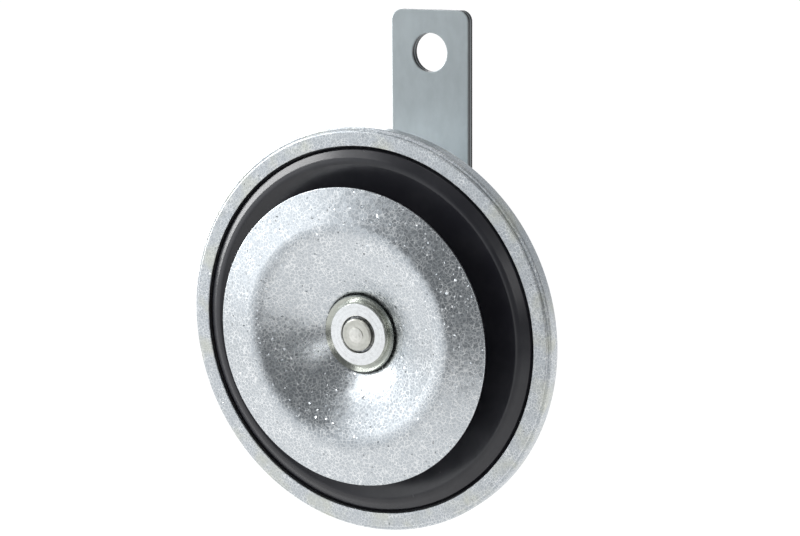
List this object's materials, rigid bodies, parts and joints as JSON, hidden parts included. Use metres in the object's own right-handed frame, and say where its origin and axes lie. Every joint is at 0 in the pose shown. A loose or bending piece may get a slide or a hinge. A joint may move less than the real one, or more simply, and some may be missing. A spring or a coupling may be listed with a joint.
{
  "type": "car horn",
  "caption": "Electromagnetic disc horn: crimped round housing, sprung diaphragm with dished tone disc, and a two-leaf strip bracket with one fixing hole.",
  "frame": {"origin": "centre of the bracket's fixing hole, on the rear face of the rear leaf", "axes": "+Z along the bracket strip, upwards past the hole; -Y towards the tone disc, so +Y is the side that bolts to the vehicle; +X to the right as seen from the front"},
  "size_m": [0.0916, 0.0555, 0.1153],
  "materials": {
    "zinc_plated_steel": "zinc plated, softly bright, fine spangle",
    "plated_hub": "zinc plated, turned",
    "plated_washer": "zinc plated, pressed",
    "black_lacquer": "black lacquer, glossy",
    "bracket_steel": "smooth satin grey",
    "bare_steel": "rolled",
    "spring_steel": "hardened, smooth",
    "brass": "bright",
    "contact_metal": "sintered, dull",
    "can_metal": "drawn, satin",
    "copper_wire": "enamelled",
    "gasket": "pressed fibre",
    "fibre": "vulcanised fibre",
    "terminal_board": "laminated board",
    "bobbin_plastic": "moulded"
  },
  "bodies": {
    "horn_body": {"clamp_ring": "zinc_plated_steel", "front_gasket": "gasket", "rear_gasket": "gasket", "diaphragm": "black_lacquer", "housing": "zinc_plated_steel", "core_stud": "plated_hub", "coil_bobbin": "bobbin_plastic", "coil_winding": "copper_wire", "breaker_base": "bare_steel", "rear_insulator": "fibre", "contact_arm": "spring_steel", "front_insulator": "fibre", "fixed_contact_plate": "bare_steel", "fixed_contact": "contact_metal", "moving_contact": "contact_metal", "breaker_rivets": "brass", "base_rivets": "plated_hub", "screw_bush": "plated_hub", "adjusting_screw": "plated_hub", "adjusting_locknut": "plated_hub", "terminal_plate": "terminal_board", "inner_terminal_plate": "terminal_board", "left_terminal": "brass", "right_terminal": "brass", "terminal_rivets": "brass", "suppressor": "can_metal", "bracket_spacer": "plated_hub", "front_leaf": "bracket_steel", "rear_leaf": "bracket_steel", "lock_washer": "spring_steel", "bracket_nut": "plated_hub"},
    "sounder": {"tone_disc": "zinc_plated_steel", "cup_washer": "plated_washer", "hub_collar": "plated_hub", "disc_spacer": "plated_hub", "armature": "plated_hub", "pusher_washer": "fibre"}
  },
  "joints": [
    {"name": "sounder_stroke", "type": "slide", "parent": "horn_body", "child": "sounder", "axis": [0, 1, 0], "range_m": [-0.0004, 0.00045], "stiffness_N_per_m": 5000, "deforming": ["diaphragm", "contact_arm"]}
  ]
}
